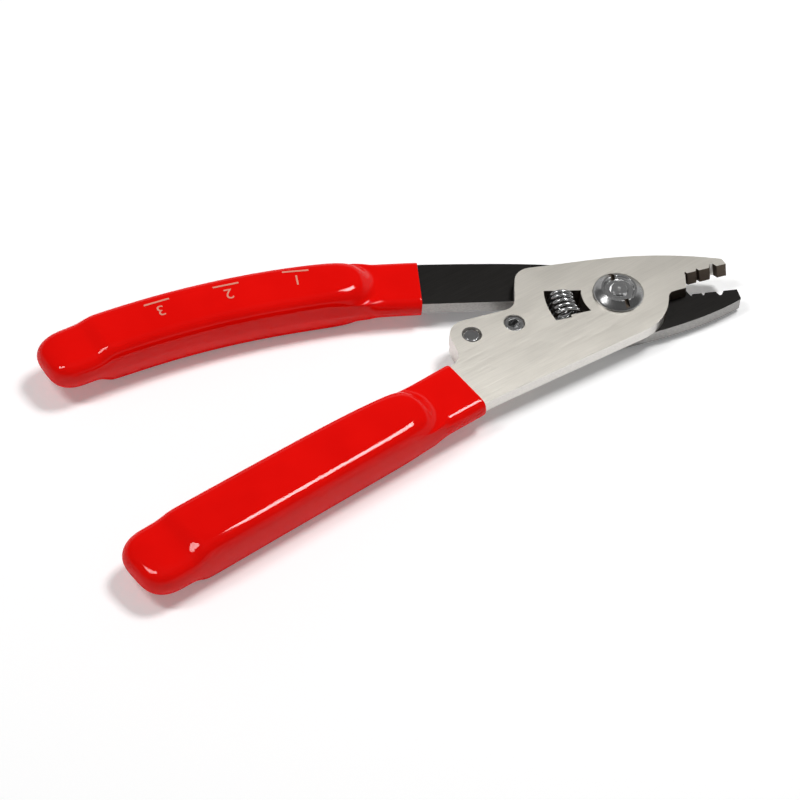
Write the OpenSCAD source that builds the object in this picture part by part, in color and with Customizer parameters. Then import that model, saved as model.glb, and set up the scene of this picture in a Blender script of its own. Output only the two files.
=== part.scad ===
// Three-hole fibre stripper: two bypass-jaw levers on a stud, held open by a coil spring
// that sits in a window cut through both plates. Each lever is drawn closed, with the
// stripping holes on the X axis and the pivot at the origin, and is then swung open.

/* [Plates] */
// Thickness of each steel lever plate
plate_t = 3; // [2.6:0.1:3.6]
// Running gap between the two plates
plate_gap = 0.04; // [0.02:0.01:0.1]
// Angle between closed jaws and jaws at rest, in degrees
open_angle = 12.4; // [10:0.1:14]

/* [Head] */
// Distance of the heads' straight back edges from the pivot
head_back = 11.2; // [10.4:0.1:12.4]
// Slope of the heads' straight edges, in degrees
head_slope = 9.7; // [8:0.1:11]
// Depth of the front head below the pivot
front_belly = 12.3; // [11.5:0.1:13]
// Depth of the rear head on its own belly side
rear_belly = 11; // [10.5:0.1:12.5]
// Rounding of the heads' back corners
head_corner_r = 4.2; // [2:0.1:5]
// Radius about the pivot of the front head's rear edge
front_arc_r = 23.6; // [23:0.1:24.2]
// Gap between the rear head's edge and the stop plate as the levers swing
swing_clear = 0.4; // [0.2:0.05:0.8]
// Rounding between head and throat
belly_corner_r = 12; // [8:0.5:14]

/* [Jaws] */
// Angle by which the closed edges pass each other, in degrees
bypass_angle = 3; // [2.4:0.05:3.6]
// Tilt of the cutting line from the X axis, in degrees
edge_turn = -0.45; // [-0.8:0.05:0.8]
// Distance of the fine notch from the pivot
fine_notch_x = 17.5; // [16.6:0.1:18]
// Distance of the middle notch from the pivot
middle_notch_x = 20.4; // [20:0.1:21]
// Distance of the wide notch from the pivot
wide_notch_x = 24.3; // [24:0.1:25]
// Hole that the closed fine notches leave
fine_hole_d = 0.14; // [0.1:0.01:0.2]
// Hole that the closed middle notches leave
middle_hole_d = 0.25; // [0.2:0.01:0.4]
// Hole that the closed wide notches leave
wide_hole_d = 1.0; // [0.8:0.05:1.4]
// Full angle between the walls of a notch, in degrees
notch_angle = 60; // [50:1:70]
// Lean of the notches towards the pivot, in degrees
notch_lean = 4; // [0:0.5:6]
// Slope of the ground cutting edges, in degrees
bevel_angle = 17.5; // [12:0.5:22]
// Reach of the front jaw from the pivot
front_tip_x = 27.6; // [27:0.1:29]
// Reach of the rear jaw from the pivot
rear_tip_x = 28.35; // [27:0.05:29]
// Lean of the front jaw's end, positive outwards
front_tip_lean = -0.45; // [-1:0.05:1]
// Lean of the rear jaw's end, positive outwards
rear_tip_lean = 0.4; // [-1:0.05:1]
// Width of the front jaw at its tip
front_tip_w = 1.75; // [1.2:0.05:3]
// Width of the rear jaw at its tip
rear_tip_w = 2.5; // [1.2:0.05:3]
// Place along the front jaw of the bend in its back
front_shoulder_x = 14.2; // [12:0.1:18]
// Place along the rear jaw of the bend in its back
rear_shoulder_x = 17.6; // [12:0.1:18]
// Width of the front jaw's back at that bend
front_shoulder_w = 8.5; // [8:0.1:9]
// Width of the rear jaw's back at that bend
rear_shoulder_w = 8.2; // [8:0.1:9]
// Width of the heel below the X axis
heel_w = 3.6; // [2.8:0.1:4]
// Distance of the heel's corner from the pivot
heel_x = 15.8; // [15:0.05:16.4]
// Distance of the throat's corner from the pivot
throat_x = 11.1; // [10.8:0.1:12]
// Distance behind the pivot at which the belly turns towards the handle
belly_reach = 16; // [14:0.5:18]
// Distance from the pivot at which throat and belly meet
belly_corner_x = 7.1; // [5:0.1:8]

/* [Lobe and stops] */
// Distance of screw and pin below the X axis
stop_drop = 0.25; // [0:0.05:0.5]
// Distance of the stop screw from the pivot
screw_x = 26; // [25.4:0.1:26.6]
// Radius of the stop screw
screw_r = 2.4; // [2.2:0.05:2.5]
// Width across the flats of the screw's hexagon socket
socket_af = 2.5; // [2:0.1:2.8]
// Depth of the hexagon socket
socket_depth = 1.8; // [1:0.1:2.5]
// Distance of the stop pin from the pivot
pin_x = 36.4; // [35.5:0.1:37]
// Radius of the stop pin
pin_r = 2.25; // [2:0.05:2.5]
// Chamfer on the pin's ends
pin_chamfer = 0.65; // [0.3:0.05:1]
// How far screw and pin stay below the plate's face
stop_recess = 0.25; // [0.1:0.05:0.5]
// Reach of the lobe past the pivot
lobe_x = 41.35; // [40.8:0.05:42.2]
// Height of the lobe's upper edge over the X axis
lobe_top = 4.3; // [3.9:0.1:4.7]
// Rounding between lobe and handle
lobe_root_r = 4; // [3:0.1:5]
// Setback of the stop plate from the lobe's outline
stop_inset = 0.3; // [0.1:0.05:0.6]
// Radius of the stop plate's round end, about the stop screw
stop_end_r = 4; // [3.6:0.1:4.2]
// Rounding of the stop plate's lower corner
stop_corner_r = 3; // [1:0.5:4]
// Gap left between stop plate and rear lever when the jaws are closed
stop_clear = 0.06; // [0.04:0.01:0.12]
// Distance of the rear lever's inner edge from the X axis, at the grip
rear_inner_w = 4.85; // [4.5:0.05:5.2]
// Slope of that edge, in degrees
rear_inner_slope = 4.6; // [4:0.1:6]
// Rounding of the lobe's corner
lobe_r = 4.4; // [3.5:0.1:5]

/* [Spring and window] */
// Radius of the window's inner edge
window_in_r = 8.5; // [8:0.1:8.8]
// Radius of the window's outer edge
window_out_r = 17; // [16.6:0.1:17.6]
// Half of the window's angle, in degrees
window_half_angle = 16.85; // [16:0.05:18]
// Turn of the window's far end from the radial direction, in degrees
far_end_turn = 5; // [0:1:10]
// Turn of the window's near end from the radial direction, in degrees
near_end_turn = 14; // [8:1:18]
// Radius from which the window's near end is set back as a seat for the spring's end
seat_r = 13.2; // [12:0.1:15]
// Depth of that seat
seat_step = 0.7; // [0:0.1:1]
// Gap between the spring and the window's inner edge
spring_in_gap = 1; // [0.6:0.1:1.6]
// Gap between the spring and the window's outer edge
spring_out_gap = 0.7; // [0.4:0.1:1.2]
// Diameter of the spring wire
wire_d = 1; // [0.8:0.05:1.1]
// Number of turns
spring_turns = 5; // [4:0.5:5.5]
// Height of the spring's centre line over the mating plane
spring_lift = 0.9; // [0:0.1:1.2]
// Gap between the spring's ends and the window
spring_gap = 0.1; // [0.05:0.01:0.15]

/* [Pivot] */
// Radius of the stud's shank
shank_r = 4; // [3.4:0.1:4.6]
// Radial gap between shank and rear lever
running_clear = 0.04; // [0.02:0.01:0.08]
// Radial gap of pieces that are fixed in their holes
seat_clear = 0.02; // [0.01:0.01:0.05]
// Diameter of the stud's head and of the nut
nut_d = 11.6; // [11:0.1:12.4]
// Height of the nut's raised ring over the plate
nut_h = 1.9; // [1.6:0.1:2.4]
// Outer radius of the raised ring
ring_r = 4.2; // [3.9:0.1:4.6]
// Width of the raised ring
ring_w = 0.6; // [0.4:0.1:0.9]
// Depth of the recess inside the ring
nut_recess = 0.7; // [0.4:0.1:0.9]
// Straight height of the nut's rim
rim_h = 0.45; // [0.3:0.05:0.8]
// Radius of the stud's threaded end
thread_r = 2.1; // [1.8:0.1:2.5]
// Width of the nut's spanner slots and of the slot in the stud's head
slot_w = 0.9; // [0.7:0.1:1.2]
// Height of the stud's head
head_h = 1.6; // [1.2:0.1:2.2]
// Depth of the slot in the stud's head
slot_depth = 0.8; // [0.5:0.1:1]
// Direction of the nut's spanner slots, in degrees
slot_turn = 95; // [0:1:180]

/* [Handles] */
// Distance from the pivot, along X, at which both grips begin
grip_x = 43.6; // [43:0.1:46]
// Drop of the front handle's centre line there
front_drop = 13.6; // [13:0.1:14.2]
// Drop of the rear handle's centre line there
rear_drop = 10.9; // [10.6:0.1:11.8]
// Slant of the front handle, in degrees
front_slant = 14.6; // [13.5:0.1:16]
// Bend of the front handle along its grip, in degrees
front_bend = 1.3; // [-2:0.1:4]
// Slant of the rear handle where its grip begins, in degrees
rear_slant = 4.8; // [3:0.1:6]
// Bend of the rear handle along its grip, in degrees
rear_bend = -27.7; // [-29:0.1:-24]
// Length of each grip
grip_len = 88.6; // [84:0.2:92]
// Width of the front lever's tang in the grip's collar
front_tang_w = 12.8; // [12:0.1:13.2]
// Width of the rear lever's tang in the grip's collar
rear_tang_w = 12.1; // [11.6:0.1:13.2]
// Width of the tang at its end
tang_end_w = 8.6; // [7:0.1:9.6]
// Wall of plastic past the tang's end
end_wall = 5; // [4:0.1:7]

/* [Grips] */
// Thickness of the dipped skin
skin = 1.1; // [1:0.05:1.4]
// Length of the flat collar
collar_len = 9.5; // [7:0.1:11]
// Length of the ramp between collar and body
ramp_len = 5.5; // [4:0.1:7]
// Width of the front grip's raised body
front_body_w = 15.1; // [14.4:0.1:16]
// Width of the rear grip's raised body
rear_body_w = 13.8; // [12.8:0.1:15]
// Growth of the front body's width towards the far end
front_body_grow = 0.9; // [0:0.1:2]
// Growth of the rear body's width towards the far end
rear_body_grow = 0.5; // [0:0.1:2]
// Thickness of the raised body
body_t = 11.6; // [10.6:0.1:13]
// Rounding of the edges of collar and body
collar_r = 2.4; // [1.8:0.1:3]
// Share of the crown's half width that is level
crown_flat = 0.28; // [0.2:0.01:0.36]
// Fullness of the body's crown where it rises from the collar
crown_start = 1.8; // [1.5:0.1:2.6]
// Fullness of the crown over the body, more is fuller
crown_full = 2.8; // [2:0.1:3.6]
// Fullness of the crown over the lower lobe
crown_end = 2; // [1.5:0.1:2.6]
// Ledge left beside the front crown, on the inner side at the collar
front_ledge = 1.4; // [0:0.1:3.5]
// Ledge left beside the rear crown
rear_ledge = 0.4; // [0:0.1:2.5]
// Length over which the ledges run out
ledge_len = 28; // [16:1:36]
// Length of the lower lobe at the grip's end
tail_len = 12.4; // [10:0.1:14]
// Rise of that lobe over the handle's middle plane
tail_lift = 0.4; // [0:0.1:1]
// Thickness of that lobe
tail_t = 7.8; // [7:0.1:10]
// Length over which the lobe's end is rounded
dome_len = 7.5; // [6:0.5:9]
// Rounding of the skin's lip round the tang
rim_r = 0.4; // [0.3:0.05:0.45]
// Rounding of the lip's four corners, which keep clear of the square tang
lip_r = 1; // [0.9:0.05:1.1]
// Setback of the pads from the body's ends
pad_setback = 1.4; // [1:0.1:2]
// Slack between the pads and the crown of the skin
pad_slack = 0.3; // [0.2:0.05:0.4]
// Reach of a peg into the opposite pad
peg_reach = 1.2; // [0.8:0.1:1.6]
// Radius of the pads' locating pegs
peg_r = 1.8; // [1.4:0.1:2.2]
// Place of the first peg, along the grip
peg_s = 26; // [22:0.5:30]
// Distance between the two pegs
peg_pitch = 36; // [30:0.5:40]
// Gap around a pad and around the tang inside the skin
pad_gap = 0.08; // [0.05:0.01:0.1]

/* [Hidden] */

$fn = 64;
face_z = plate_gap / 2;          // mating face of the front plate, mirrored for the rear one
back_z = face_z + plate_t;       // outer face of the front plate
mid_z = face_z + plate_t / 2;    // middle of the front plate
half_open = open_angle / 2;
tip_r = 0.5;                     // small roundings of the plates: the jaws' tips,
heel_r = 2;                      // the heels and the foot of the rear lever's seat,
neck_r = 3.2;                    // and the front lever's lobe where it leaves the head
rear_arc_r = screw_x - stop_end_r - swing_clear;
spring_od = window_out_r - window_in_r - spring_in_gap - spring_out_gap;
spring_path_r = window_out_r - spring_out_gap - spring_od / 2;
notches = [[fine_notch_x, fine_hole_d], [middle_notch_x, middle_hole_d], [wide_notch_x, wide_hole_d]];
steel = [0.78, 0.77, 0.74];
dark_steel = [0.16, 0.16, 0.15];
bright_steel = [0.86, 0.87, 0.88];
red_pvc = [0.88, 0.04, 0.03];
pad_plastic = [0.85, 0.84, 0.8];

// --- Points, arcs and outlines -------------------------------------------------------------

function arc(c, r, a0, a1, n) = [for (i = [0:n]) let (a = a0 + (a1 - a0) * i / n)
    [c[0] + r * cos(a), c[1] + r * sin(a)]];

function bend(p0, p1, p2, n) = [for (i = [0:n]) let (t = i / n)
    p0 * (1 - t) * (1 - t) + p1 * 2 * t * (1 - t) + p2 * t * t];

// Where the line through p along angle a meets the line through q along angle b
function meet(p, a, q, b) =
    let (d = cos(a) * sin(b) - sin(a) * cos(b),
         t = ((q[0] - p[0]) * sin(b) - (q[1] - p[1]) * cos(b)) / d)
    [p[0] + t * cos(a), p[1] + t * sin(a)];

function unit(v) = v / norm(v);

// Arc that rounds corner b between a and c with radius r
function fillet(a, b, c, r, n) =
    let (u = unit(a - b), v = unit(c - b), half = acos(u * v) / 2, reach = r / tan(half),
         m = b + unit(u + v) * r / sin(half), p = b + u * reach, q = b + v * reach,
         a0 = atan2(p[1] - m[1], p[0] - m[0]), a1 = atan2(q[1] - m[1], q[0] - m[0]),
         turn = a1 - a0 > 180 ? a1 - a0 - 360 : a1 - a0 < -180 ? a1 - a0 + 360 : a1 - a0)
    arc(m, r, a0, a0 + turn, n);

// --- Handle centre line --------------------------------------------------------------------

// A handle is [drop, slant, bend, body width, its growth, tang width, rise of the lobe, ledge]; its
// centre line starts at the collar and bends evenly along the grip
front_handle = [front_drop, front_slant, front_bend, front_body_w, front_body_grow, front_tang_w, tail_lift,
    front_ledge];
rear_handle = [rear_drop, rear_slant, rear_bend, rear_body_w, rear_body_grow, rear_tang_w, -tail_lift,
    rear_ledge];

function heading(h, s) = 180 + h[1] + h[2] * s / grip_len;
function along(h, s) =
    let (turn = h[2] * s / grip_len / 2, chord = abs(turn) < 0.01 ? s : s * sin(turn) / (turn * PI / 180))
    [-grip_x + chord * cos(180 + h[1] + turn), -h[0] + chord * sin(180 + h[1] + turn)];
// Point beside the centre line: positive w is the outer side
function beside(h, s, w) = along(h, s) + w * [-sin(heading(h, s)), cos(heading(h, s))];

// --- Grip form -----------------------------------------------------------------------------

tang_end_s = grip_len - end_wall;
body_s = collar_len + ramp_len;       // the raised body begins
tail_s = grip_len - tail_len;         // the lower lobe begins
tail_ramp = ramp_len * 0.9;
dome_full = 2.4;                      // fullness of the lobe's round end
end_w = 0.25;                         // share of the width and of the thickness that is
end_t = 0.15;                         // left on the lobe's end

function ease(t) = let (u = min(max(t, 0), 1)) u * u * (3 - 2 * u);
// Blend of collar, body and tail values along the grip
function blend(s, collar, body, tail) = collar + (body - collar) * ease((s - collar_len) / ramp_len)
    + (tail - body) * ease((s - tail_s + tail_ramp / 2) / tail_ramp);
function dome(s) = let (t = max(0, (s - grip_len + dome_len) / dome_len))
    pow(max(0, 1 - pow(t, dome_full)), 1 / dome_full);
function rim(s) = s < rim_r ? rim_r - sqrt(rim_r * rim_r - (rim_r - s) * (rim_r - s)) : 0;
function corner_r(s) = collar_r + (lip_r - collar_r) * rim(s) / rim_r;

collar_t = plate_t + 2 * skin;
function collar_w(h) = h[5] + 2 * skin;
function body_w(h, s) = h[3] + h[4] * (s - body_s) / (tail_s - body_s);
function half_w(h, s) =
    blend(s, collar_w(h), body_w(h, s), body_w(h, tail_s)) / 2 * (end_w + (1 - end_w) * dome(s)) - rim(s);
// Half thickness without the crown, rise of the crown over it, and the crown's fullness
function base_t(s) = collar_t / 2 * (end_t + (1 - end_t) * dome(s)) - rim(s);
function crown(s) = blend(s, 0, body_t - collar_t, tail_t - collar_t) / 2 * dome(s);
function fullness(s) = crown_start + (crown_full - crown_start) * ease((s - collar_len) / (2 * ramp_len))
    + (crown_end - crown_full) * ease((s - tail_s + tail_ramp / 2) / tail_ramp);
// Ledge that the crown leaves on the inner side, from the collar on
function ledge(h, s) = h[7] * ease(s / collar_len) * (1 - ease((s - collar_len) / ledge_len));

// Half widths and thickness of the hollow in the skin, and half width of the tang
function pad_w(h, s) = blend(s, collar_w(h), body_w(h, s), body_w(h, s)) / 2 - skin;
function hollow_w(h, s) = max(s > tail_s ? 0 : pad_w(h, s), tang_half(h, s) + pad_gap);
function hollow_crown(s) = s > tail_s ? 0 : crown(s);
function tang_half(h, s) = let (slim = min(h[5], h[3] - 2 * skin - 2 * pad_gap))
    s < collar_len ? h[5] / 2
    : s < body_s ? h[5] / 2 + (slim - h[5]) / 2 * (s - collar_len) / ramp_len
    : slim / 2 + (tang_end_w - slim) / 2 * (s - body_s) / (tang_end_s - body_s);

// Height of a crown of fullness n at the fraction v of its half width; its middle is level
function bulge(v, n) = let (t = max(0, min(1, v) - crown_flat) / (1 - crown_flat))
    pow(1 - pow(t, n), 1 / n);

// A quarter of a cross-section has points at fractions of the crown's half width, and on at
// fractions of the stretch from the last of them to the edge
crown_at = [crown_flat, 0.52, 0.68, 0.8, 0.88, 0.94];
skin_edge_at = [0.2, 0.6, 1];
hollow_edge_at = [1, 1, 1];
hollow_side = [1, 0.6, 0.1];          // heights of the hollow's edge points, down its upright side
edge_land = 0.1;                      // share of the skin's height that stands upright at the edge

// Distances of those points from the middle: half width w, the crown's foot off the edge by d
function out_from(w, d, edge_at) = let (last = (w - d) * crown_at[len(crown_at) - 1])
    concat([for (u = crown_at) u * (w - d)], [for (u = edge_at) last + (w - last) * u]);

// Quarters with a crown of height c and fullness n on a band of height t: the skin's band has
// its edge rounded over r, the hollow's is square
function skin_quarter(w, t, r, c, n, d) = [for (x = out_from(w, d, skin_edge_at))
    let (side = min(1, (w - x) / r))
    [x, t * max(edge_land, sqrt(1 - (1 - side) * (1 - side))) + c * bulge(x / (w - d), n)]];
function hollow_quarter(w, t, c, n, d) = let (xs = out_from(w, d, hollow_edge_at), k = len(crown_at))
    [for (i = [0:len(xs) - 1])
        [xs[i], t * (i < k ? 1 : hollow_side[i - k]) + c * bulge(xs[i] / (w - d), n)]];

// Upper side from an outer and an inner quarter that meet at height top, and the closed ring
function across(outer, inner, top) = concat([for (i = [len(outer) - 1:-1:0]) outer[i]], [[0, top]],
    [for (p = inner) [-p[0], p[1]]]);
function ring(upper) = concat(upper, [for (i = [len(upper) - 1:-1:0]) [upper[i][0], -upper[i][1]]]);

// Cross-section standing across the centre line at s, around height z
function standing(h, s, z, outline) = [for (p = outline) let (q = beside(h, s, p[0])) [q[0], q[1], z + p[1]]];

// Height of the grip's middle at s
function grip_z(h, s) = mid_z + h[6] * ease((s - tail_s + tail_ramp / 2) / tail_ramp);

// Skin over closed rings of equal count, with a flat cap at each end
module loft(rings) {
    n = len(rings[0]);
    m = len(rings);
    sides = [for (j = [0:m - 2]) for (i = [0:n - 1]) let (k = (i + 1) % n)
        each [[j * n + i, j * n + k, (j + 1) * n + k], [j * n + i, (j + 1) * n + k, (j + 1) * n + i]]];
    first = [for (i = [n - 1:-1:0]) i];
    last = [for (i = [0:n - 1]) (m - 1) * n + i];
    polyhedron(points = [for (r = rings) each r], faces = concat([first], sides, [last]));
}

// --- Levers --------------------------------------------------------------------------------

function edge_y(x) = -x * tan(bypass_angle / 2);

// Half width of notch n, [place, hole], at the cutting edge
function notch_half(n) = let (r = n[1] / 2, w = notch_angle / 2)
    r * cos(w) + (r * sin(w) - edge_y(n[0])) * tan(w);

// V with a round root that meets its walls; it runs on past the edge
module notch_cutter(n) {
    r = n[1] / 2;
    w = notch_angle / 2;
    far = 0.15 - edge_y(n[0]);
    wide = r * cos(w) + (r * sin(w) + far) * tan(w);
    translate([n[0], 0, face_z])
        rotate([-bevel_angle, -notch_lean, 0])
            translate([0, 0, -plate_t]) {
                cylinder(r = r, h = 3 * plate_t, $fn = 32);
                linear_extrude(3 * plate_t)
                    polygon([[-wide, -far], [wide, -far],
                        [r * cos(w), r * sin(w)], [-r * cos(w), r * sin(w)]]);
            }
}

// Removes what lies in front of the ground edge, and the notches behind it
module edge_cutter(tip_x, turn) {
    near_x = fine_notch_x - notch_half(notches[0]);
    slide = (near_x - heel_x) / (heel_w + edge_y(near_x));
    low = -heel_w - plate_t;
    profile = [[near_x + slide * (low - edge_y(near_x)), low], [near_x, edge_y(near_x)],
        [tip_x + 2, edge_y(tip_x + 2)], [tip_x + 2, low]];
    rotate([0, 0, turn]) {
        translate([0, 0, face_z])
            rotate([-bevel_angle, 0, 0])
                translate([0, 0, -plate_t])
                    linear_extrude(3 * plate_t)
                        polygon([for (p = profile) [p[0], p[1] * cos(bevel_angle)]]);
        for (n = notches) notch_cutter(n);
    }
}

// A lever is [handle, belly depth, rear arc radius, tip x, tip lean, tip width, shoulder]
front_plate = [front_handle, front_belly, front_arc_r, front_tip_x, front_tip_lean, front_tip_w,
    [front_shoulder_x, front_shoulder_w]];
rear_plate = [rear_handle, rear_belly, rear_arc_r, rear_tip_x, rear_tip_lean, rear_tip_w,
    [rear_shoulder_x, rear_shoulder_w]];

// Angle at which the straight back edge meets an arc of radius r about the pivot
function corner_a(r) = 180 - asin(head_back * cos(head_slope) / r) - head_slope;
function polar(r, a) = [r * cos(a), r * sin(a)];

// Where the rounding of that corner has run into the arc
function arc_a(r) = corner_a(r) + asin(1.07 * head_corner_r / r);

// From the heel round the jaw and the head's back to its rear arc
function jaw_side(l) =
    let (edge = [l[3], 0], tip = [l[3] + l[4], l[5]], back_line = [0, head_back],
         a = arc_a(l[2]), arc_in = polar(l[2], a))
    concat([[fine_notch_x, -heel_w], [fine_notch_x, -heel_w / 2], [l[3], -heel_w / 2]],
        fillet(edge, tip, l[6], tip_r, 3),
        bend(tip + 0.8 * unit(l[6] - tip), l[6], back_line, 10),
        fillet(back_line, meet(back_line, 180 - head_slope, arc_in, a + 90), arc_in, head_corner_r, 6));

// From the handle along the belly and up the throat
function throat_side(l) =
    let (h = l[0], join = beside(h, -2, h[5] / 2), throat = [throat_x, -heel_w],
         belly = [-belly_reach, -l[1] - belly_reach * tan(head_slope)],
         belly_corner = [belly_corner_x, -l[1] + belly_corner_x * tan(head_slope)])
    concat(bend(join, meet(join, heading(h, -2), belly, 180 + head_slope), belly, 6),
        fillet(belly, belly_corner, throat, belly_corner_r, 8),
        fillet(belly_corner, throat, [heel_x, -heel_w], heel_r, 5));

// The tang has its points where the hollow of the skin has its rings
function tang(h) = let (s1 = tang_end_s - tang_end_w / 2, path = [for (s = inner_s) if (s < s1) s]) concat(
    [for (s = path) beside(h, s, -tang_half(h, s))],
    [for (i = [0:6]) let (a = 180 * i / 6)
        beside(h, s1 + tang_end_w / 2 * sin(a), -tang_half(h, s1) * cos(a))],
    [for (i = [len(path) - 1:-1:0]) beside(h, path[i], tang_half(h, path[i]))]);

// The front lever's lobe carries the stops
lobe_foot = meet([-lobe_x, 0], 90, beside(front_handle, 0, -front_tang_w / 2), heading(front_handle, 0));
lobe = let (top = [-lobe_x, lobe_top], neck = polar(front_arc_r, 160)) concat(
    arc([0, 0], front_arc_r, arc_a(front_arc_r), 160, 5),
    fillet(neck, [-front_arc_r - 0.5, lobe_top - 0.4], top, neck_r, 5),
    fillet([-screw_x, lobe_top - 0.2], top, lobe_foot, lobe_r, 6),
    fillet(top, lobe_foot, beside(front_handle, 0, -front_tang_w / 2), lobe_root_r, 5));

// Rear lever's inner edge, which comes to rest on the stop plate
inner_point = [-grip_x, -rear_inner_w];
function inner_y(x) = -rear_inner_w + (x + grip_x) * tan(rear_inner_slope);
seat = let (near = [-rear_arc_r, inner_y(-rear_arc_r)]) concat(
    arc([0, 0], rear_arc_r, arc_a(rear_arc_r), 174, 7),
    fillet(polar(rear_arc_r, 174), near, inner_point, heel_r, 5));

function outline(l, inner) = concat(jaw_side(l), inner, tang(l[0]), throat_side(l));

// Window of the front lever; at rest the rear one lies under it
module window() {
    function cut(a, turn, r) = let (end = polar(spring_path_r, a), d = polar(1, a + turn), m = end * d)
        end + (sqrt(m * m - spring_path_r * spring_path_r + r * r) - m) * d;
    function angle(p) = let (a = atan2(p[1], p[0])) a < 0 ? a + 360 : a;
    far_a = 180 - window_half_angle;
    near_a = 180 + window_half_angle;
    near = near_a - near_end_turn;
    seat_end = cut(near_a, -near_end_turn, seat_r);
    linear_extrude(4 * plate_t, center = true)
        polygon(concat(
            arc([0, 0], window_out_r, angle(cut(far_a, far_end_turn, window_out_r)),
                angle(cut(near_a, -near_end_turn, window_out_r) + polar(seat_step, near + 90)), 8),
            [seat_end + polar(seat_step, near + 90), seat_end],
            arc([0, 0], window_in_r, angle(cut(near_a, -near_end_turn, window_in_r)),
                angle(cut(far_a, far_end_turn, window_in_r)), 8)));
}

module peg_holes(h, r) {
    for (s = [peg_s, peg_s + peg_pitch])
        translate(concat(along(h, s), -2 * plate_t))
            cylinder(r = r, h = 4 * plate_t);
}

// One lever plate, closed, with its cutting edge on the face at z = face_z
module lever(l, inner, turn, bore_r) {
    difference() {
        translate([0, 0, face_z])
            linear_extrude(plate_t)
                polygon(outline(l, inner));
        edge_cutter(l[3], turn);
        translate([0, 0, -plate_t]) cylinder(r = bore_r, h = 4 * plate_t);
        rotate([0, 0, -half_open]) window();
        peg_holes(l[0], peg_r + pad_gap);
    }
}

// The rear lever is a front lever turned over about the X axis
module front_pose() { rotate([0, 0, half_open]) children(); }
module rear_pose() { rotate([0, 0, -half_open]) rotate([180, 0, 0]) children(); }

module stop_holes() {
    for (stop = [[screw_x, screw_r], [pin_x, pin_r]])
        translate([-stop[0], -stop_drop, -2 * plate_t]) cylinder(r = stop[1] + seat_clear, h = 4 * plate_t);
}

module front_lever() {
    color(steel)
        front_pose()
            difference() {
                lever(front_plate, lobe, edge_turn, shank_r + seat_clear);
                stop_holes();
            }
}

module rear_lever() {
    color(dark_steel)
        rear_pose() lever(rear_plate, seat, -edge_turn, shank_r + running_clear);
}

// --- Pivot ---------------------------------------------------------------------------------

head_z = -back_z - plate_gap;    // inner face of the stud's head

module pivot_stud() {
    chamfer = 0.45;
    shoulder_z = back_z - 0.3;
    end_z = back_z + nut_h - 0.35;
    color(bright_steel)
        difference() {
            rotate_extrude()
                polygon([[0, head_z - head_h], [nut_d / 2 - 2 * chamfer, head_z - head_h],
                    [nut_d / 2, head_z - head_h + chamfer], [nut_d / 2, head_z], [shank_r, head_z],
                    [shank_r, shoulder_z], [thread_r, shoulder_z], [thread_r, end_z - 0.3],
                    [thread_r - 0.3, end_z], [0.5, end_z], [0, end_z - 0.3]]);
            translate([-nut_d, -slot_w / 2, head_z - head_h - 1]) cube([2 * nut_d, slot_w, 1 + slot_depth]);
        }
}

module pivot_nut() {
    bore_r = thread_r + seat_clear;
    floor_z = nut_h - nut_recess;
    slot_in = ring_r - ring_w - 0.5;
    slot_out = nut_d / 2 - 0.5;
    color(bright_steel)
        translate([0, 0, back_z])
            difference() {
                rotate_extrude()
                    polygon([[bore_r, 0], [nut_d / 2, 0], [nut_d / 2, rim_h], [nut_d / 2 - 0.25, rim_h + 0.3],
                        [ring_r, nut_h - 0.15], [ring_r - 0.15, nut_h], [ring_r - ring_w, nut_h],
                        [ring_r - ring_w - 0.4, floor_z], [bore_r, floor_z]]);
                for (side = [0, 180])
                    rotate([0, 0, slot_turn + side])
                        translate([slot_in, -slot_w / 2, floor_z - 0.4])
                            cube([slot_out - slot_in, slot_w, nut_h]);
            }
}

// --- Spring and stops ----------------------------------------------------------------------

spring_half_a = window_half_angle - (spring_gap + wire_d / 2) / spring_path_r * 180 / PI;
end_turns = 0.8;                  // dead turn at each end, wound close
dead_a = wire_d * 1.02 * end_turns / spring_path_r * 180 / PI;
function coil_a(v) = v < end_turns ? -spring_half_a + dead_a * v / end_turns
    : v > spring_turns - end_turns ? spring_half_a - dead_a * (spring_turns - v) / end_turns
    : -spring_half_a + dead_a
        + 2 * (spring_half_a - dead_a) * (v - end_turns) / (spring_turns - 2 * end_turns);
// Lean of each turn, from that of one end of the window to that of the other
function coil_turn(v) = far_end_turn - (far_end_turn + near_end_turn) * v / spring_turns;
function coil(v) =
    let (r = (spring_od - wire_d) / 2, q = spring_path_r + r * cos(360 * v),
         a = 180 + coil_a(v) + atan((q - spring_path_r) * tan(coil_turn(v)) / q))
    [q * cos(a), q * sin(a), spring_lift + r * sin(360 * v)];

module return_spring() {
    steps = 16 * spring_turns;
    rings = [for (i = [0:steps])
        let (v = i * spring_turns / steps, c = coil(v), t = unit(coil(v + 0.01) - coil(v - 0.01)),
             radial = cos(360 * v) * concat(polar(1, 180 + coil_a(v)), 0) + [0, 0, sin(360 * v)],
             side = unit(cross(t, radial)),
             out = cross(side, t))
        [for (k = [0:7]) c + wire_d / 2 * (cos(45 * k) * out - sin(45 * k) * side)]];
    color(bright_steel) loft(rings);
}

// All that lies over the rear lever's inner edge when the jaws are closed
module over_seat() {
    translate([-grip_x, rear_inner_w - stop_clear])
        rotate(-rear_inner_slope)
            translate([-grip_x, 0]) square([2 * grip_x, grip_x]);
}

// Lies against the front lever's lobe, in the rear lever's plane
module stop_plate() {
    left = -lobe_x + stop_inset;
    top = lobe_top - stop_inset;
    screw = [-screw_x, -stop_drop];
    low = screw - [0, stop_end_r];
    color(steel)
        front_pose()
            difference() {
                translate([0, 0, face_z - plate_t])
                    linear_extrude(plate_t)
                        difference() {
                            polygon(concat(arc(screw, stop_end_r, -90, 90, 12),
                                fillet([-screw_x, top], [left, top], [left, low[1]], lobe_r - stop_inset, 6),
                                fillet([left, top], [left, low[1]], low, stop_corner_r, 5)));
                            over_seat();
                        }
                stop_holes();
            }
}

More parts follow.
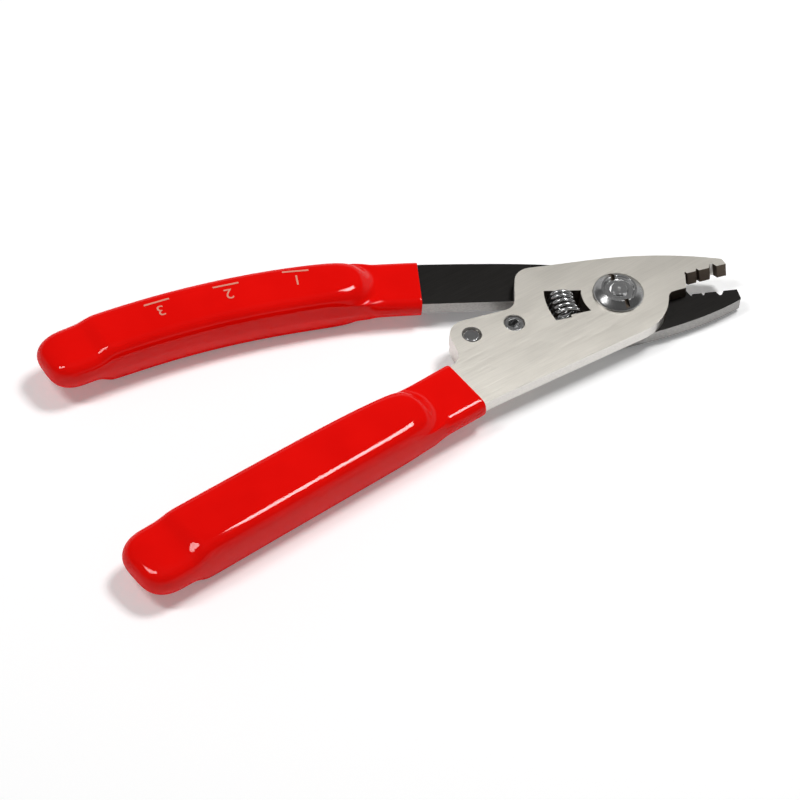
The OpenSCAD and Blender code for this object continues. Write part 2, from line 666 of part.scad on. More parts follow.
module stop_pin() {
    low = face_z - plate_t + stop_recess;
    high = back_z - stop_recess;
    color(bright_steel)
        front_pose()
            translate([-pin_x, -stop_drop, 0])
                rotate_extrude()
                    polygon([[0, low], [pin_r - pin_chamfer, low], [pin_r, low + pin_chamfer],
                        [pin_r, high - pin_chamfer], [pin_r - pin_chamfer, high], [0, high]]);
}

module stop_screw() {
    low = face_z - plate_t + stop_recess;
    high = back_z - stop_recess;
    color(bright_steel)
        front_pose()
            translate([-screw_x, -stop_drop, 0])
                difference() {
                    rotate_extrude()
                        polygon([[0, low], [screw_r - 0.3, low], [screw_r, low + 0.3],
                            [screw_r, high - 0.3], [screw_r - 0.3, high], [0, high]]);
                    translate([0, 0, high - socket_depth])
                        cylinder(r = socket_af / 2 / cos(30), h = 2 * socket_depth, $fn = 6);
                }
}

// --- Grips ---------------------------------------------------------------------------------

outer_s = concat([for (a = [0:9:90]) grip_len - dome_len * (1 - cos(a))],
    [for (i = [0:6]) tail_s + tail_ramp / 2 - tail_ramp * i / 6],
    [for (i = [1:5]) tail_s - tail_ramp / 2 - (tail_s - tail_ramp / 2 - body_s) * i / 6],
    [for (i = [0:6]) body_s - ramp_len * i / 6], [collar_len / 2],
    [for (a = [90:-30:0]) rim_r * (1 - cos(a))]);
inner_s = concat([0, collar_len / 2, collar_len], [for (i = [1:5]) collar_len + ramp_len * i / 5],
    [for (i = [1:5]) body_s + (tail_s - tail_ramp / 2 - body_s) * i / 6],
    [for (i = [0:4]) tail_s - tail_ramp / 2 + tail_ramp * i / 4], [tang_end_s + pad_gap]);

function skin_ring(h, s) =
    let (w = half_w(h, s), t = base_t(s), r = corner_r(s), c = crown(s), n = fullness(s))
    ring(across(skin_quarter(w, t, r, c, n, 0), skin_quarter(w, t, r, c, n, ledge(h, s)), t + c));
function hollow_ring(h, s) =
    let (w = hollow_w(h, s), t = plate_t / 2 + pad_gap, c = hollow_crown(s), n = fullness(s))
    ring(across(hollow_quarter(w, t, c, n, 0), hollow_quarter(w, t, c, n, ledge(h, s)), t + c));

// Dipped skin: one closed wall, out from the far end to the rim and back in over the tang
module grip(h) {
    loft(concat(
        [for (s = outer_s) standing(h, s, grip_z(h, s), skin_ring(h, s))],
        [for (s = inner_s) standing(h, s, mid_z, hollow_ring(h, s))]));
}

module front_grip() { color(red_pvc) front_pose() grip(front_handle); }
module rear_grip() { color(red_pvc) rear_pose() grip(rear_handle); }

pad_start_s = collar_len + pad_setback;
pad_end_s = tail_s - pad_setback;
pad_s = concat([pad_end_s], [for (i = [len(inner_s) - 1:-1:0])
    if (inner_s[i] > pad_start_s && inner_s[i] < pad_end_s) inner_s[i]], [pad_start_s]);

// Filler pad on one face of the tang; its pegs or their sockets join the pair through the tang
module pad(h) {
    function quarter(s, w) = [for (u = concat(crown_at, 1))
        [u * w, plate_t / 2 + (crown(s) - pad_slack) * bulge(u, fullness(s))]];
    function arch(s) = let (w = hollow_w(h, s) - pad_gap)
        across(quarter(s, w), quarter(s, w - ledge(h, s)), plate_t / 2 + crown(s) - pad_slack);
    loft([for (s = pad_s) standing(h, s, mid_z, arch(s))]);
}

module upper_pad(h) {
    union() {
        pad(h);
        for (s = [peg_s, peg_s + peg_pitch])
            translate(concat(along(h, s), face_z - peg_reach))
                cylinder(r = peg_r, h = plate_t + 2 * peg_reach);
    }
}

module lower_pad(h) {
    difference() {
        translate([0, 0, 2 * mid_z]) mirror([0, 0, 1]) pad(h);
        for (s = [peg_s, peg_s + peg_pitch])
            translate(concat(along(h, s), face_z - peg_reach - pad_gap))
                cylinder(r = peg_r + pad_gap, h = plate_t);
    }
}

module front_upper_pad() { color(pad_plastic) front_pose() upper_pad(front_handle); }
module front_lower_pad() { color(pad_plastic) front_pose() lower_pad(front_handle); }
module rear_upper_pad() { color(pad_plastic) rear_pose() lower_pad(rear_handle); }
module rear_lower_pad() { color(pad_plastic) rear_pose() upper_pad(rear_handle); }

front_lever();
rear_lever();
pivot_stud();
pivot_nut();
return_spring();
stop_plate();
stop_pin();
stop_screw();
front_grip();
rear_grip();
front_upper_pad();
front_lower_pad();
rear_upper_pad();
rear_lower_pad();
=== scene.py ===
# %% [markdown]
# # A fibre stripper
# Plier-like hand tool that strips glass fibre: two ground steel levers on a pivot, a captive
# return spring in a window, two small stops and two dipped red grips. The frame brings the
# exact solids; the cells below give each of them its real edges, finishes and light.

# %% Open the frame
import math

import bpy
from mathutils import Matrix, Vector


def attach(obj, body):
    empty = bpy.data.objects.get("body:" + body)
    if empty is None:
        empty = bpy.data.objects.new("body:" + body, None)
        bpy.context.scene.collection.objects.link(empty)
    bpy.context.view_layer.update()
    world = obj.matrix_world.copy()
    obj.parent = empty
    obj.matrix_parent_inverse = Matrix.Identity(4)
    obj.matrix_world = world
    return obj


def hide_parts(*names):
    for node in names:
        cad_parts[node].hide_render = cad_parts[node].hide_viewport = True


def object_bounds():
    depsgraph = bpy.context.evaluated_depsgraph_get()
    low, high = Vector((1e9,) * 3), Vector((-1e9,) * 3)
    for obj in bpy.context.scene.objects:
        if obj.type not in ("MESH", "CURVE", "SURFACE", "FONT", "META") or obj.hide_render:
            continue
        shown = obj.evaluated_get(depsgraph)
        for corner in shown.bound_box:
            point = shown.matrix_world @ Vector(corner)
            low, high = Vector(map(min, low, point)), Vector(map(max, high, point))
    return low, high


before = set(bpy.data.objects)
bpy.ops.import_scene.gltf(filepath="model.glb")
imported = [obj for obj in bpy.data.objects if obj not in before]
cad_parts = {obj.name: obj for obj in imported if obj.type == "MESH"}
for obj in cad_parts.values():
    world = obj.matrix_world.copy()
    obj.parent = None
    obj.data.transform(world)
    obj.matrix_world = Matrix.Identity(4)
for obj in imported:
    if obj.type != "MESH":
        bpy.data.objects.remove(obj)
cad_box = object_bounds()
MM = 0.001
print("the solids span", [round((high - low) / MM, 1) for low, high in zip(*cad_box)], "mm")

# %% [markdown]
# ## Camera
# A long lens looks down on the tool at just under fifty degrees, so that the levers keep their
# length. Three unit vectors give the camera's turn, which says more than three angles would:
# what is right, what is up, and what is back towards the lens.

# %% Put the camera in place
camera = bpy.data.objects.new("camera", bpy.data.cameras.new("camera"))
bpy.context.scene.collection.objects.link(camera)
right = Vector((0.956153, -0.285572, 0.064953))
up = Vector((0.177769, 0.742181, 0.646192))
camera.matrix_world = Matrix.Translation(Vector((-209.45, -415.27, 500.23)) * MM) @ Matrix(
    (right, up, right.cross(up))).transposed().to_4x4()
camera.data.lens = 135
camera.data.clip_start = 0.01
bpy.context.scene.camera = camera
print("camera stands", round(camera.location.length, 3), "m from the pivot")

# %% [markdown]
# ## Shader maths
# A material is a graph of nodes. Written out link by link it is hard to read, so two small
# classes help: a Wire is an output of a node and knows sums and products, and a Finish is a
# material whose one method adds any other node.

# %% Wires and finishes
class Wire:
    """The output of a node. Sums, differences and products of wires add Math nodes."""

    def __init__(self, finish, socket):
        self.finish, self.socket = finish, socket

    def math(self, operation, first, second=0.0):
        return self.finish.node("ShaderNodeMath", {"operation": operation}, {0: first, 1: second})

    def __add__(self, other):
        return self.math("ADD", self, other)

    def __sub__(self, other):
        return self.math("SUBTRACT", self, other)

    def __rsub__(self, other):
        return self.math("SUBTRACT", other, self)

    def __mul__(self, other):
        return self.math("MULTIPLY", self, other)

    __radd__, __rmul__ = __add__, __mul__

    def rise(self, low, high):
        """0 below low, 1 above high, and an even slope between them."""
        return self.finish.node("ShaderNodeMapRange", {}, {0: self, 1: low, 2: high})


class Finish:
    """A material with one Principled shader, named for what it is made of."""

    def __init__(self, name, **constants):
        self.material = bpy.data.materials.new(name)
        self.material.use_nodes = True
        self.tree = self.material.node_tree
        self.shader = self.tree.nodes["Principled BSDF"]
        for socket, value in constants.items():
            self.set(socket.replace("_", " "), value)

    def plug(self, socket, value):
        if isinstance(value, Wire):
            self.tree.links.new(value.socket, socket)
        else:
            socket.default_value = value

    def set(self, name, value):
        self.plug(self.shader.inputs[name], value)

    def node(self, kind, settings, inputs, output=0):
        """Adds a node: its settings first, then the values or wires of its sockets."""
        node = self.tree.nodes.new(kind)
        for name, value in settings.items():
            if name == "stops":
                ramp = node.color_ramp.elements
                while len(ramp) < len(value):
                    ramp.new(0.5)
                for stop, (place, colour) in zip(ramp, value):
                    stop.position, stop.color = place, (*colour, 1)
            else:
                setattr(node, name, value)
        for key, value in inputs.items():
            self.plug(node.inputs[key], value)
        return Wire(self, node.outputs[output])

    def place(self, scale=(1, 1, 1), turn=(0, 0, 0)):
        """Where a point lies on the object, counted in steps of scale metres along turned axes."""
        spot = self.node("ShaderNodeTexCoord", {}, {}, "Object")
        return self.node("ShaderNodeMapping", {"vector_type": "TEXTURE"},
                         {"Vector": spot, "Scale": scale, "Rotation": turn})

    def noise(self, where, scale, detail=2.0, roughness=0.5):
        return self.node("ShaderNodeTexNoise", {},
                         {"Vector": where, "Scale": scale, "Detail": detail, "Roughness": roughness})

    def mix(self, factor, first, second):
        """A colour between first and second."""
        return self.node("ShaderNodeMix", {"data_type": "RGBA"}, {0: factor, 6: first, 7: second}, 2)

    def darken(self, colour, shade):
        """A colour multiplied by a grey shade."""
        return self.node("ShaderNodeMix", {"data_type": "RGBA", "blend_type": "MULTIPLY"},
                         {0: 1.0, 6: colour, 7: shade}, 2)

    def bump(self, height, distance, strength=1.0):
        return self.node("ShaderNodeBump", {}, {"Height": height, "Distance": distance,
                                                "Strength": strength})

    def facing_up(self):
        """1 on faces that look along +Z or -Z, 0 on the walls."""
        normal = self.node("ShaderNodeTexCoord", {}, {}, "Normal")
        height = self.node("ShaderNodeSeparateXYZ", {}, {0: normal}, 2)
        return self.node("ShaderNodeMath", {"operation": "ABSOLUTE"}, {0: height})

    def wear(self, piece):
        """Gives the finish to a piece and returns the piece."""
        piece.data.materials.clear()
        piece.data.materials.append(self.material)
        return piece


def grey(level, warmth=0.0):
    """An almost neutral colour: warmth adds a little red and takes a little blue away."""
    return (level * (1 + warmth), level, level * (1 - warmth), 1)


print("a finish starts from", len(Finish("scrap").tree.nodes), "nodes")
bpy.data.materials.remove(bpy.data.materials["scrap"])

# %% [markdown]
# ## The table and the light
# The tool lies on a plain pale table. The table's white comes from its own colour and from a
# little glow that only the camera sees, so the lamps stay low enough for the red and the steel
# to keep their colours. A soft lamp on the right gives the long streak on the front
# grip, and a weaker one on the left opens the shadows.

# %% Lay out the table
TABLE_Z = -5.0 * MM
TABLE_SLOPE = Vector((-0.0223, 0.0655, 1)).normalized()
bpy.ops.mesh.primitive_plane_add(size=6, location=(0, 0, TABLE_Z))
table = bpy.context.object
table.name = "table"
table.rotation_mode = "QUATERNION"
table.rotation_quaternion = TABLE_SLOPE.to_track_quat("Z", "Y")
bpy.ops.object.transform_apply(location=True, rotation=True, scale=False)
table_paint = Finish("table_white", Base_Color=grey(0.97), Roughness=0.9)
table_paint.set("Specular IOR Level", 0.0)
sight = table_paint.node("ShaderNodeLightPath", {}, {}, "Is Camera Ray")
table_paint.set("Emission Color", (1, 1, 1, 1))
table_paint.wear(table)

world = bpy.data.worlds.new("studio")
bpy.context.scene.world = world
world.use_nodes = True
sky = world.node_tree
print("table at", round(TABLE_Z / MM, 2), "mm")

# %% Hang the sky and the lamps
def sky_node(kind, **settings):
    node = sky.nodes.new(kind)
    for name, value in settings.items():
        setattr(node, name, value)
    return node


heights = sky_node("ShaderNodeSeparateXYZ")
sky.links.new(sky_node("ShaderNodeTexCoord").outputs["Generated"], heights.inputs[0])
bands = sky_node("ShaderNodeValToRGB")
levels = [(0.0, 0.45), (0.2, 0.6), (0.36, 0.1), (0.9, 0.1), (1.0, 0.18)]
while len(bands.color_ramp.elements) < len(levels):
    bands.color_ramp.elements.new(0.5)
for stop, (height, level) in zip(bands.color_ramp.elements, levels):
    stop.position, stop.color = height, grey(level)
sky.links.new(heights.outputs["Z"], bands.inputs[0])
seen = sky_node("ShaderNodeLightPath")
white = sky_node("ShaderNodeMix", data_type="RGBA")
white.inputs[7].default_value = (1, 1, 1, 1)
sky.links.new(seen.outputs["Is Camera Ray"], white.inputs[0])
sky.links.new(bands.outputs[0], white.inputs[6])
sky.links.new(white.outputs[2], sky.nodes["Background"].inputs["Color"])
table_paint.set("Emission Strength", sight * 0.18)


def softbox(name, spot, aim, size, power):
    """A rectangular lamp at spot that faces aim, both in metres."""
    lamp = bpy.data.lights.new(name, "AREA")
    lamp.shape, lamp.energy = "RECTANGLE", power
    lamp.size, lamp.size_y = size
    box = bpy.data.objects.new(name, lamp)
    bpy.context.scene.collection.objects.link(box)
    box.location = spot
    box.rotation_mode = "QUATERNION"
    box.rotation_quaternion = (Vector(aim) - Vector(spot)).to_track_quat("-Z", "Y")
    return box


middle = (cad_box[0] + cad_box[1]) / 2
softbox("right_light", middle + Vector((0.34, 0.17, 0.81)), middle, (0.24, 0.2), 4.6)
softbox("left_light", middle + Vector((-0.46, 0.12, 0.76)), middle, (0.14, 0.3), 2.2)
bpy.context.scene.view_settings.view_transform = "Standard"
print("two lamps and a banded sky")

# %% [markdown]
# ## Steel
# The levers are stamped from plate and ground: long fine scratches all run one way over the
# faces, while the cut walls are coarser. One pattern, stretched along the grind, drives the
# colour, the roughness and a very low bump. A separate mask of the faces that look up or down
# tells the walls from the ground faces, and a painted shade darkens the faces towards the jaws.

# %% Ground faces and cut walls
GRIND = math.radians(19)
TANG_X, JAW_X = -0.05, 0.022             # painted shade darkens the faces from the tang to the jaws, in metres
JAW_SHADE = 0.66


def ground_steel(name, face, wall, face_rough, wall_rough, contrast=0.08, metal=1.0):
    """Brushed faces and coarser walls; contrast says how much darker the deepest scratches are."""
    steel = Finish(name, Metallic=metal)
    turn = (0, 0, GRIND)
    broad = steel.noise(steel.place(scale=(0.011, 0.00028, 0.004), turn=turn), 1.0, 2.0, 0.6)
    fine = steel.noise(steel.place(scale=(0.006, 0.0001, 0.004), turn=turn), 1.0, 2.0, 0.6)
    cloudy = steel.noise(steel.place(scale=(0.02, 0.006, 0.02), turn=turn), 1.0, 2.0)
    grains = steel.noise(steel.place(scale=(0.0005, 0.0005, 0.0003)), 1.0, 2.0)
    flat = steel.facing_up().rise(0.7, 0.95)
    marks = (broad * 0.5 + fine * 0.5) * flat + grains * (1 - flat)
    shade = steel.mix(marks.rise(0.38, 0.62), grey(1 - contrast), grey(1.0))
    # painted shade: the faces grow darker from the tang to the jaws, in place of a falling reflection
    along = steel.node("ShaderNodeSeparateXYZ", {}, {0: steel.place()}, 0)
    painted_jaw_falloff = steel.mix(along.rise(TANG_X, JAW_X) * flat, grey(1.0), grey(JAW_SHADE))
    shade = steel.darken(shade, painted_jaw_falloff)
    base = steel.mix(flat, wall, face)
    steel.set("Base Color", steel.darken(base, shade))
    steel.set("Roughness", flat * (face_rough - wall_rough) + wall_rough
              + marks * 0.12 + cloudy * 0.06 - 0.09)
    steel.set("Normal", steel.bump(marks, 0.00003, 0.6))
    return steel


lever_steel = ground_steel("ground_steel", (0.93, 0.885, 0.8, 1), (0.86, 0.83, 0.79, 1), 0.36, 0.34)
dark_face = ground_steel("blackened_steel", grey(0.03, 0.06), grey(0.42, 0.03), 0.36, 0.38, 0.2, 0.9)
# painted shade: a near-black steel for the walls of the jaw's mouth, the spring's window and the nut's
# slots, which lie in shadow and mirror the dark
painted_shade_steel = ground_steel("painted_shade_steel", (0.12, 0.095, 0.075, 1), (0.12, 0.095, 0.075, 1), 0.45, 0.45)
print("steel for the levers")

# %% [markdown]
# ## Real edges
# A solid from CAD has edges of no width, which never catch the light. A copy of each lever has
# its loose triangles merged, its flat faces joined again, and a bevel of one or two tenths of a
# millimetre cut along each sharp edge. The bevel's own faces look both up and sideways, so
# they draw the thin bright line round the plate.

# %% Helpers for editing
SAME_POINT = 0.002 * MM                  # corners closer than this are one
PAIR_ANGLE = math.radians(60)


def select_only(piece):
    if bpy.context.object and bpy.context.object.mode != "OBJECT":
        bpy.ops.object.mode_set(mode="OBJECT")
    bpy.ops.object.select_all(action="DESELECT")
    piece.select_set(True)
    bpy.context.view_layer.objects.active = piece


def open_all(piece):
    """Opens a piece for editing with all of its mesh selected."""
    select_only(piece)
    bpy.ops.object.mode_set(mode="EDIT")
    bpy.ops.mesh.select_mode(type="FACE")
    bpy.ops.mesh.select_all(action="SELECT")


def close_edit():
    bpy.ops.object.mode_set(mode="OBJECT")


def make_quads(piece):
    """Joins a solid's triangles in pairs, which a subdivision surface smooths better."""
    open_all(piece)
    bpy.ops.mesh.tris_convert_to_quads(face_threshold=PAIR_ANGLE, shape_threshold=PAIR_ANGLE)
    close_edit()


def modify(piece, kind, **settings):
    """Adds a modifier and applies it at once."""
    select_only(piece)
    modifier = piece.modifiers.new(kind.lower(), kind)
    for name, value in settings.items():
        setattr(modifier, name, value)
    bpy.ops.object.modifier_apply(modifier=modifier.name)


def smooth(piece, angle=30):
    select_only(piece)
    bpy.ops.object.shade_smooth_by_angle(angle=math.radians(angle))


def copy_of(node, name):
    """A new piece with the merged mesh of a solid; the solid itself stays as it is."""
    piece = bpy.data.objects.new(name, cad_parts[node].data.copy())
    bpy.context.scene.collection.objects.link(piece)
    open_all(piece)
    bpy.ops.mesh.remove_doubles(threshold=SAME_POINT)
    close_edit()
    return piece


def hand_over(piece, body, slot, *nodes):
    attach(piece, body)
    if nodes:
        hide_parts(*nodes)
    print(piece.name, "has", len(piece.data.polygons), "faces")
    return piece


# %% Bevel the two levers
def bevelled(node, name, width):
    plate = copy_of(node, name)
    open_all(plate)
    bpy.ops.mesh.dissolve_limited(angle_limit=math.radians(0.4))
    close_edit()
    modify(plate, "BEVEL", width=width, segments=2, limit_method="ANGLE",
           angle_limit=math.radians(35), harden_normals=False, use_clamp_overlap=True)
    smooth(plate, 32)
    modify(plate, "WEIGHTED_NORMAL", mode="FACE_AREA", weight=100, keep_sharp=True)
    return plate


def second_finish(piece, finish, chosen):
    """Gives a second finish to the faces whose middle, in mm, and normal are chosen."""
    piece.data.materials.append(finish.material)
    count = 0
    for face in piece.data.polygons:
        if chosen(face.center / MM, face.normal):
            face.material_index = 1
            count += 1
    print(piece.name, "has", count, "faces in", finish.material.name)


WALL_RISE = 0.6                          # a wall's normal rises less than this
WINDOW_IN, WINDOW_OUT = 7.6, 17.6        # the window's radii round the pivot, in mm
HALF_OPEN = math.radians(6.2)            # each lever's turn from the closed tool
TO_CLOSED = Matrix.Rotation(-HALF_OPEN, 3, "Z")


def in_window(middle, normal):
    """Walls of the spring's window."""
    return (abs(normal.z) < WALL_RISE and WINDOW_IN < middle.xy.length < WINDOW_OUT
            and middle.x < -5 and abs(middle.y) < 6)


def in_mouth(middle, normal):
    """Walls of the front jaw's mouth: its teeth, its notches and its throat."""
    closed = TO_CLOSED @ middle
    return abs(normal.z) < WALL_RISE and 5 < closed.x < 27 and -9 < closed.y < 0.6


front_lever = lever_steel.wear(bevelled("front_lever", "front_lever_plate", 0.16 * MM))
# painted shade on the walls of the mouth and of the window
second_finish(front_lever, painted_shade_steel, lambda *face: in_mouth(*face) or in_window(*face))
hand_over(front_lever, "front", "brushed_steel", "front_lever")
rear_lever = dark_face.wear(bevelled("rear_lever", "rear_lever_plate", 0.10 * MM))
# painted shade on the walls of the window
second_finish(rear_lever, painted_shade_steel, in_window)
hand_over(rear_lever, "rear", "dark_steel", "rear_lever")
stop_plate = lever_steel.wear(bevelled("stop_plate", "stop_plate_edges", 0.10 * MM))
hand_over(stop_plate, "front", "brushed_steel", "stop_plate")

# %% [markdown]
# ## Dipped grips
# The grips are dipped in red PVC, so nothing on them is sharp: the skin flows from the flat
# collar up a ramp to the body and down again to the rounded end. A subdivision surface turns
# the solid's flat facets into that flow. The plastic is deep red under a clear gloss, with
# faint waves left by the dip.

# %% Red plastic
red_plastic = Finish("dipped_red", Coat_Weight=0.45, Coat_Roughness=0.04, Coat_IOR=1.5,
                     Specular_IOR_Level=0.0)
where = red_plastic.place()
waves = red_plastic.noise(where, 90.0, 2.0)
pores = red_plastic.noise(where, 2600.0, 1.0)
red_plastic.set("Base Color", red_plastic.mix(waves.rise(0.3, 0.7), (0.83, 0.0025, 0.001, 1),
                                              (0.9, 0.0035, 0.0016, 1)))
red_plastic.set("Roughness", waves * 0.06 + 0.2)
red_plastic.set("Normal", red_plastic.bump(waves + pores * 0.04, 0.00006, 0.35))
print("red plastic")

# %% Measure along a handle
GRIP_X, GRIP_LEN = 43.6, 88.6            # where the grips begin and how long they are, in mm
COLLAR_LEN, RAMP_LEN, TAIL_LEN = 9.5, 5.5, 12.4
COLLAR_HALF, PLATE_HALF = 2.6, 1.58      # half thickness of the collar and of the hollow in it
MID_HEIGHT = 1.52                        # from the mating plane to the middle of a plate


def ease(t):
    """A soft step from 0 to 1 while t goes from 0 to 1."""
    t = min(max(t, 0.0), 1.0)
    return t * t * (3 - 2 * t)


class Handle:
    """A handle's centre line is an arc; a point has a place along it, one beside it and a height."""

    def __init__(self, drop, slant, bend, half_width, side):
        self.half_width, self.side = half_width, side      # side is 1 in front, -1 for the rear
        self.start = math.radians(180 + slant)
        self.radius = GRIP_LEN / math.radians(bend)
        self.centre = Vector((-GRIP_X, -drop)) + self.radius * self.across(self.start)
        self.turn = Matrix.Rotation(HALF_OPEN * side, 3, "Z")

    @staticmethod
    def across(heading):
        """The direction square to a heading, seen from above."""
        return Vector((-math.sin(heading), math.cos(heading)))

    def measure(self, point):
        """From metres at rest to (along, beside, height) in mm."""
        closed = self.turn.transposed() @ (point / MM)
        flat = Vector((closed.x, closed.y * self.side)) - self.centre
        normal = flat.normalized() * -math.copysign(1, self.radius)
        turned = math.atan2(-normal.x, normal.y) - self.start
        turned = (turned + math.pi) % (2 * math.pi) - math.pi
        return (turned * self.radius, self.radius - math.copysign(flat.length, self.radius),
                closed.z * self.side - MID_HEIGHT)

    def point(self, along, beside, height):
        """From (along, beside, height) in mm to metres at rest."""
        normal = self.across(self.start + along / self.radius)
        flat = self.centre - (self.radius - beside) * normal
        return self.turn @ Vector((flat.x, flat.y * self.side, (height + MID_HEIGHT) * self.side)) * MM


FRONT_HANDLE = Handle(13.6, 14.6, 1.3, 8.0, 1)
REAR_HANDLE = Handle(10.9, 4.8, -27.7, 7.15, -1)
returned = FRONT_HANDLE.measure(FRONT_HANDLE.point(40, 3, 2))
print("the point 40, 3, 2 comes back as", [round(value, 3) for value in returned])

# %% [markdown]
# ## Round start and soft lobe
# A dipped skin has no straight steps. The raised body begins in a round arch behind the collar.
# Edit mode has no operator that bends a step into an arch, so each point is moved by a rule
# from its place along and beside the handle. The same rule shapes the pads inside, and the skin
# keeps its thickness. The lobe at the far end is only smoothed, more than the rest.

# %% Shape and smooth the two grips
ARCH_REACH = 8.0                         # how far the body's corners stay behind its middle, in mm
LOBE_FROM, LOBE_BLEND = GRIP_LEN - TAIL_LEN - 4, 6      # where the extra smoothing fades in


def arch_start(piece, handle, outer_foot):
    """Bends the body's start into an arch; outer_foot is the height from which its outside rises."""
    half = handle.half_width
    facing = [vertex.normal.z * handle.side for vertex in piece.data.vertices]
    for vertex, up in zip(piece.data.vertices, facing):
        along, beside, height = handle.measure(vertex.co)
        spread = min(abs(beside) / half, 1.0)
        begun = ease((along - COLLAR_LEN) / RAMP_LEN)
        arch = ease((along - COLLAR_LEN - ARCH_REACH * (1 - math.sqrt(1 - spread * spread))) / RAMP_LEN)
        outer = up * height > 0
        foot = outer_foot if outer else PLATE_HALF
        if begun > 0.001 and abs(height) > foot:
            height = math.copysign(foot + (abs(height) - foot) * arch / begun, height)
        vertex.co = handle.point(along, beside, height)


def dipped(node, name, handle):
    """A grip's skin: subdivided, arched and smoothed, the lobe most of all."""
    grip = copy_of(node, name)
    make_quads(grip)
    modify(grip, "SUBSURF", levels=2, render_levels=2)
    arch_start(grip, handle, COLLAR_HALF)
    lobe = grip.vertex_groups.new(name="lobe")
    for vertex in grip.data.vertices:
        along = handle.measure(vertex.co)[0]
        lobe.add([vertex.index], ease((along - LOBE_FROM) / LOBE_BLEND), "REPLACE")
    modify(grip, "SMOOTH", factor=0.5, iterations=30, vertex_group="lobe")
    modify(grip, "SMOOTH", factor=0.5, iterations=14)
    grip.vertex_groups.clear()
    select_only(grip)
    bpy.ops.object.shade_smooth()
    return red_plastic.wear(grip)


hand_over(dipped("front_grip", "front_grip_skin", FRONT_HANDLE), "front", "red_pvc", "front_grip")
rear_skin = hand_over(dipped("rear_grip", "rear_grip_skin", REAR_HANDLE), "rear", "red_pvc", "rear_grip")

# %% [markdown]
# ## Pads under the skin
# Four moulded pads fill the grips over the tangs. The skin closes them in, so they only have to
# follow its round start, and get a pale matt plastic.

# %% Pale plastic
pad_plastic = Finish("pad_plastic")
speckle = pad_plastic.noise(pad_plastic.place(), 1500.0, 2.0)
pad_plastic.set("Base Color", pad_plastic.mix(speckle, grey(0.6, 0.03), grey(0.68, 0.04)))
pad_plastic.set("Roughness", speckle * 0.1 + 0.45)

# %% Four pads
for body, handle in (("front", FRONT_HANDLE), ("rear", REAR_HANDLE)):
    for level in ("upper", "lower"):
        pad = copy_of(f"{body}_{level}_pad", f"{body}_{level}_pad_arched")
        modify(pad, "TRIANGULATE")
        arch_start(pad, handle, PLATE_HALF)
        hand_over(pad_plastic.wear(pad), body, "pad_plastic", f"{body}_{level}_pad")
print("pads dressed")

# %% [markdown]
# ## Pivot
# The nut is turned and polished, so its grooves run round the pivot. Distance from the pivot's
# axis, fed to a fine wave, gives those grooves their bump and the rings of light.

# %% Turned steel
def turned_steel(name, base, rough, spot, pitch=0.00022, depth=0.000006):
    """Polished metal with lathe grooves round an upright axis through spot, in metres."""
    steel = Finish(name, Metallic=1.0)
    centre = steel.node("ShaderNodeVectorMath", {"operation": "SUBTRACT"},
                        {0: steel.node("ShaderNodeTexCoord", {}, {}, "Object"), 1: (*spot, 0)})
    flat = steel.node("ShaderNodeVectorMath", {"operation": "MULTIPLY"}, {0: centre, 1: (1, 1, 0)})
    radius = steel.node("ShaderNodeVectorMath", {"operation": "LENGTH"}, {0: flat}, 1)
    grooves = steel.node("ShaderNodeMath", {"operation": "SINE"}, {0: radius * (2 * math.pi / pitch)})
    grain = steel.noise(steel.place(), 3000.0, 2.0)
    steel.set("Base Color", steel.mix(grain, grey(base * 0.9), grey(base)))
    steel.set("Roughness", grain * 0.08 + rough)
    steel.set("Normal", steel.bump(grooves * 0.5 + grain * 0.1, depth, 0.5))
    return steel


nut_steel = turned_steel("turned_steel", 0.55, 0.19, (0, 0), 0.0003, 0.000002)


def edged(node, name, body, slot, finish, width):
    piece = finish.wear(bevelled(node, name, width))
    return hand_over(piece, body, slot, node)


SLOT_TURN = Matrix.Rotation(math.radians(-95), 3, "Z")
SLOT_HALF, SLOT_START, SLOT_END, SLOT_FLOOR = 0.48, 3.05, 5.4, 3.5      # in mm


def in_slot(middle, normal):
    """Walls and floors of the nut's two spanner slots."""
    turned = SLOT_TURN @ middle
    return abs(turned.y) < SLOT_HALF and SLOT_START < abs(turned.x) < SLOT_END and middle.z > SLOT_FLOOR


nut = edged("pivot_nut", "nut_polished", "front", "bright_steel", nut_steel, 0.06 * MM)
# painted shade on the walls and floors of the nut's slots
second_finish(nut, painted_shade_steel, in_slot)
edged("pivot_stud", "stud_polished", "front", "bright_steel", nut_steel, 0.10 * MM)

# %% [markdown]
# ## Spring
# The spring is drawn wire, bright and only faintly marked. Its turns lie in the solid as rings of
# flat facets, so its copy gets one level of subdivision and smooth shading.

# %% Spring wire
wire_steel = Finish("spring_wire", Metallic=1.0)
drawn = wire_steel.noise(wire_steel.place(), 1800.0, 3.0)
wire_steel.set("Base Color", wire_steel.mix(drawn, grey(0.5), grey(0.6)))
wire_steel.set("Roughness", drawn * 0.08 + 0.2)
wire_steel.set("Normal", wire_steel.bump(drawn, 0.000001, 0.3))
spring = copy_of("return_spring", "spring_coils")
make_quads(spring)
modify(spring, "SUBSURF", levels=1, render_levels=1)
smooth(spring, 50)
wire_steel.wear(spring)
hand_over(spring, "front", "spring_steel", "return_spring")

# %% [markdown]
# ## Stops
# The pin and the set screw are small turned parts, browned and a little oily. They take the same
# turned finish as the nut, each with the grooves round its own axis, only darker.

# %% Stop pin and stop screw
pin_steel = turned_steel("browned_steel", 0.5, 0.18, (-0.0362, -0.0042))
edged("stop_pin", "pin_edges", "front", "screw_steel", pin_steel, 0.08 * MM)
screw_steel = turned_steel("oiled_steel", 0.4, 0.22, (-0.0258, -0.0031))
edged("stop_screw", "screw_edges", "front", "screw_steel", screw_steel, 0.08 * MM)

# %% [markdown]
# ## Station numbers
# The three stripping stations are numbered on the rear grip, as on a dial: a plain number over a
# plain line. The marks are thin ink, so both are modelled flat, laid over the grip and dropped
# onto it.

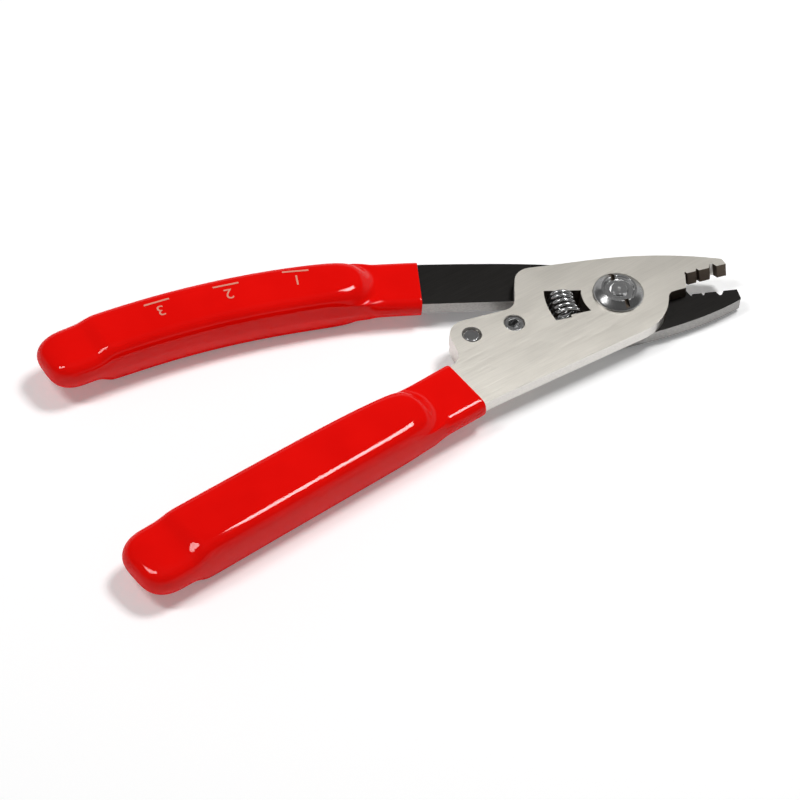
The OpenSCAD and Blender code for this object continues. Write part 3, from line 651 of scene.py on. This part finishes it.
# %% Pale ink
ink = Finish("pale_ink", Specular_IOR_Level=0.3)
patches = ink.noise(ink.place(), 2200.0, 2.0)
ink.set("Base Color", ink.mix(patches, (0.72, 0.23, 0.16, 1), (0.88, 0.36, 0.27, 1)))
ink.set("Roughness", patches * 0.1 + 0.35)

# %% Number the three stations
INK_LIFT = 0.05 * MM
LINE_LENGTH, LINE_WIDTH, NUMBER_SIZE = 6.0, 0.5, 4.2    # in mm
DROP_FROM = 12                           # the marks start this far above the pivot, in mm


def lettering(text, size, spot):
    """Flat text round a spot, already turned into a mesh."""
    bpy.ops.object.text_add(location=(*spot, 0))
    letters = bpy.context.object
    letters.data.body, letters.data.size = text, size
    letters.data.align_x = letters.data.align_y = "CENTER"
    select_only(letters)
    bpy.ops.object.convert(target="MESH")
    return bpy.context.object


def line(length, width, spot):
    """A flat strip, cut into short pieces so that it can follow the grip."""
    bpy.ops.mesh.primitive_grid_add(x_subdivisions=8, y_subdivisions=2, size=1, location=(*spot, 0))
    strip = bpy.context.object
    strip.scale = (length, width, 1)
    return strip


def station(number, spot, turn):
    """A plain number over a line at spot (mm), turned by turn degrees."""
    parts = [line(LINE_LENGTH, LINE_WIDTH, (0, -2.0)), lettering(str(number), NUMBER_SIZE, (0, 0.6))]
    bpy.ops.object.select_all(action="DESELECT")
    for part in parts:
        part.select_set(True)
    bpy.context.view_layer.objects.active = parts[0]
    bpy.ops.object.transform_apply(location=True, rotation=True, scale=True)
    bpy.ops.object.join()
    mark = bpy.context.object
    mark.name = mark.data.name = f"station_{number}"
    mark.data.transform(Matrix.Translation(Vector((*spot, DROP_FROM)) * MM)
                        @ Matrix.Rotation(math.radians(turn), 4, "Z") @ Matrix.Scale(MM, 4))
    modify(mark, "SHRINKWRAP", target=rear_skin, wrap_method="PROJECT", use_project_z=True,
           use_negative_direction=True, use_positive_direction=False, offset=INK_LIFT)
    ink.wear(mark)
    return hand_over(mark, "rear", "red_pvc")


station(1, (-70, 20.2), 173)
station(2, (-86, 19.6), 182)
station(3, (-102, 18.2), 188)
